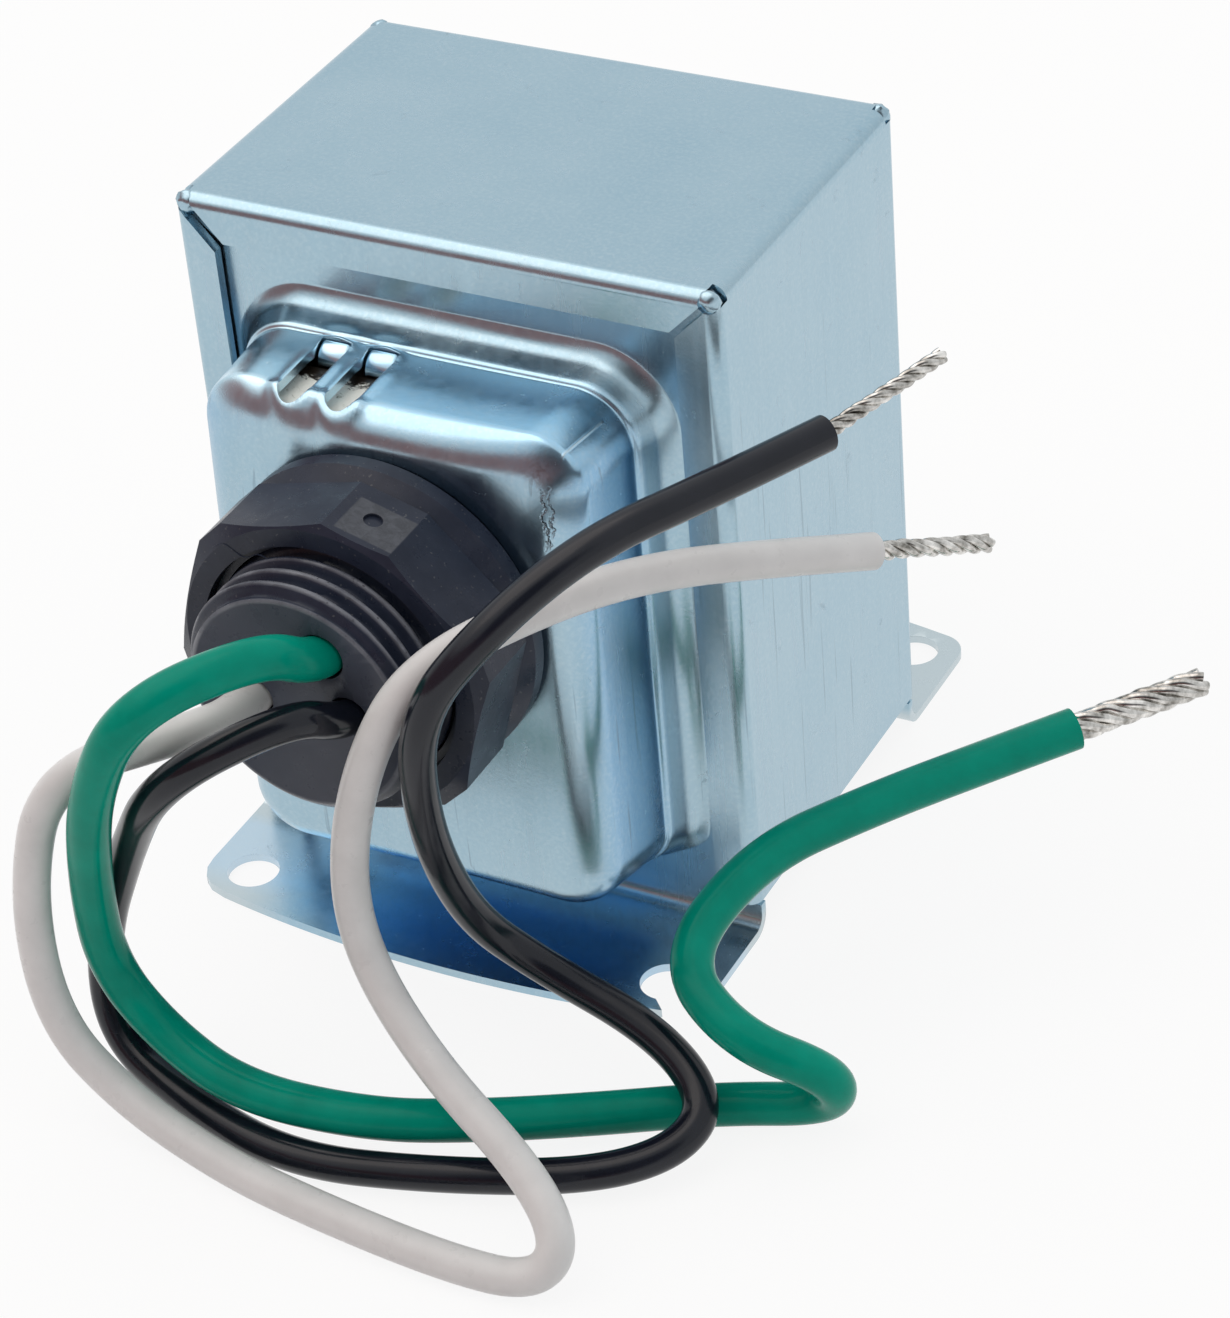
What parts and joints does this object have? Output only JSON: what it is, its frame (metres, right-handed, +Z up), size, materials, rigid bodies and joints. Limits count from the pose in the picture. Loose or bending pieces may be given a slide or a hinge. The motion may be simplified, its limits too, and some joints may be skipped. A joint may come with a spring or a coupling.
{
  "type": "doorbell transformer",
  "caption": "Small mains transformer in a folded steel case with drawn end pans, slotted mounting feet, a threaded conduit hub with locknut and loose wire leads.",
  "frame": {"origin": "centre of the four foot holes, on the underside of the feet", "axes": "+Z up through the case; -Y is the side with the conduit hub; +X to the right of someone facing the hub"},
  "size_m": [0.0827, 0.0972, 0.0638],
  "materials": {
    "zinc_steel": "bright zinc plating with a pale blue cast",
    "silicon_steel": "stacked laminations with dark edges",
    "bobbin_nylon": "natural moulded nylon",
    "magnet_wire": "enamelled copper wire",
    "coil_tape": "pale yellow polyester tape",
    "cutout_case": "tinned metal case",
    "hub_nylon": "black moulded nylon, satin",
    "brass": "plain brass",
    "tinned_copper": "tinned copper",
    "green_pvc": "glossy green insulation",
    "black_pvc": "satin black insulation",
    "white_pvc": "white insulation",
    "phenolic_board": "brown phenolic board",
    "plated_screw": "bright plated steel"
  },
  "bodies": {
    "root": {"steel_wrap": "zinc_steel", "front_end_plate": "zinc_steel", "rear_end_plate": "zinc_steel", "e_laminations": "silicon_steel", "i_laminations": "silicon_steel", "bobbin": "bobbin_nylon", "primary_winding": "magnet_wire", "secondary_winding": "magnet_wire", "primary_tape": "coil_tape", "secondary_tape": "coil_tape", "tape_pad": "coil_tape", "thermal_cutout": "cutout_case", "conduit_hub": "hub_nylon", "hex_locknut": "hub_nylon", "earth_lug": "brass", "green_crimp": "tinned_copper", "black_crimp": "tinned_copper", "white_crimp": "tinned_copper", "primary_tails": "magnet_wire", "green_lead": "green_pvc", "black_lead": "black_pvc", "white_lead": "white_pvc", "green_bare_end": "tinned_copper", "black_bare_end": "tinned_copper", "white_bare_end": "tinned_copper", "terminal_board": "phenolic_board", "terminal_plates": "brass", "terminal_screws": "plated_screw", "terminal_nuts": "plated_screw", "board_rivets": "brass", "secondary_tails": "magnet_wire"}
  },
  "joints": []
}
